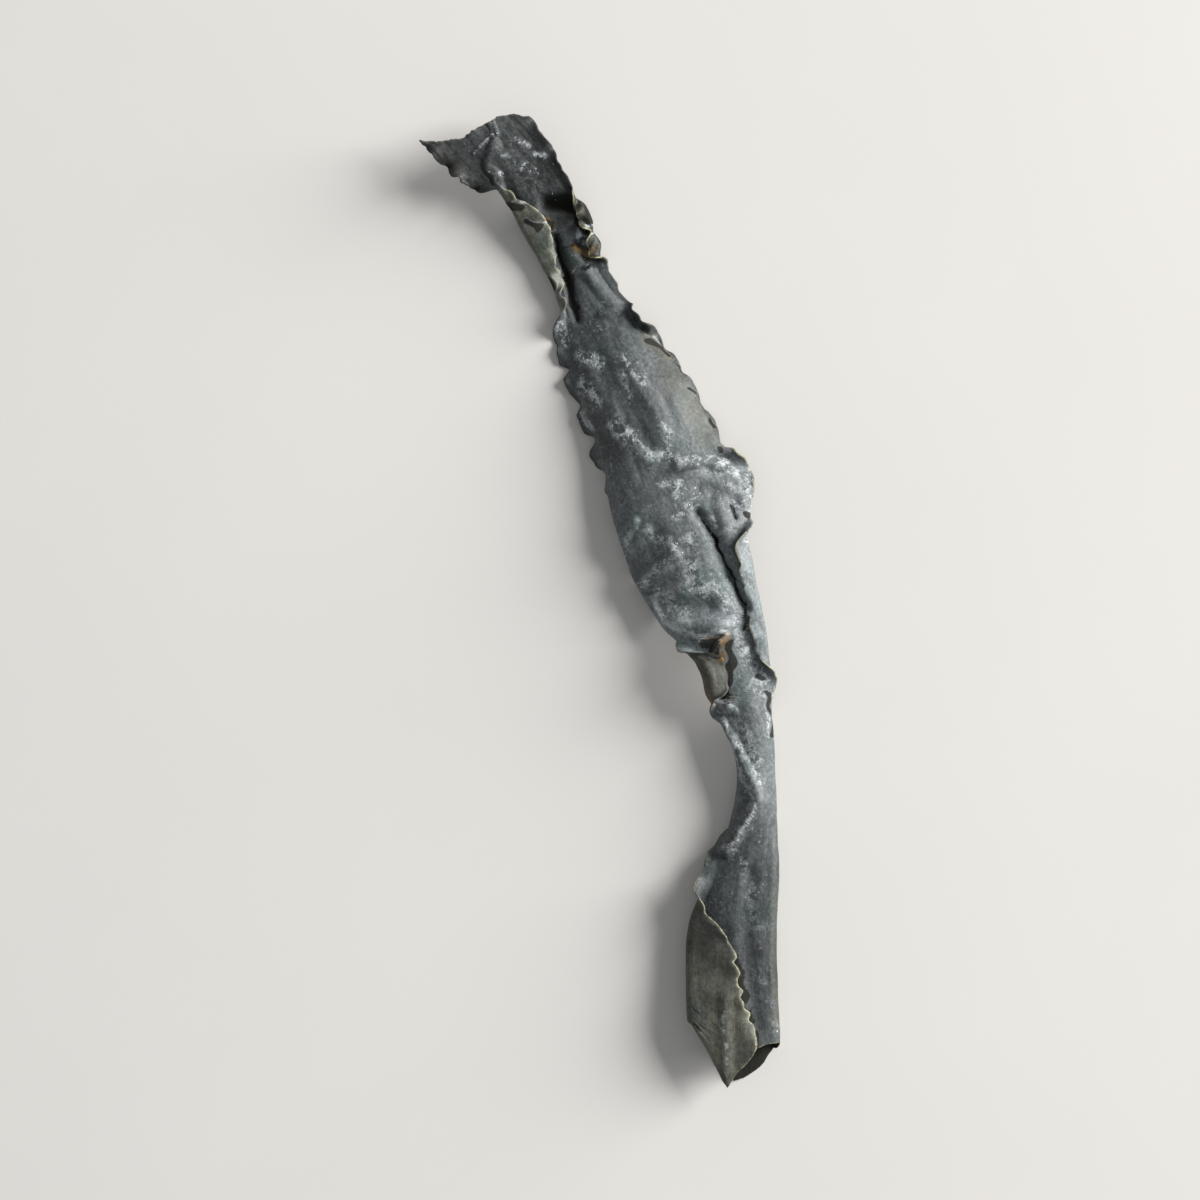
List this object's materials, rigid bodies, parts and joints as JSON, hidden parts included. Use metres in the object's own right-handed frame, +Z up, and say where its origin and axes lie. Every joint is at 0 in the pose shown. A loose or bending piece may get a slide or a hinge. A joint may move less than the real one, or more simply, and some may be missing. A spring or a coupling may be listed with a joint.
{
  "type": "dried kelp strip",
  "caption": "Strip of dried kelp with a broad wavy blade, folded margins, ruffled edges and a flattened tube at its lower end.",
  "frame": {"origin": "middle of the strip's box in plan, on the surface that it lies on", "axes": "+Y along the strip towards its torn top end, +X to the right seen from above, +Z up"},
  "size_m": [0.0644, 0.174, 0.01],
  "materials": {
    "kelp": "matt",
    "salt_bloom": "matt"
  },
  "bodies": {
    "root": {"kelp_strip": "kelp"}
  },
  "joints": []
}
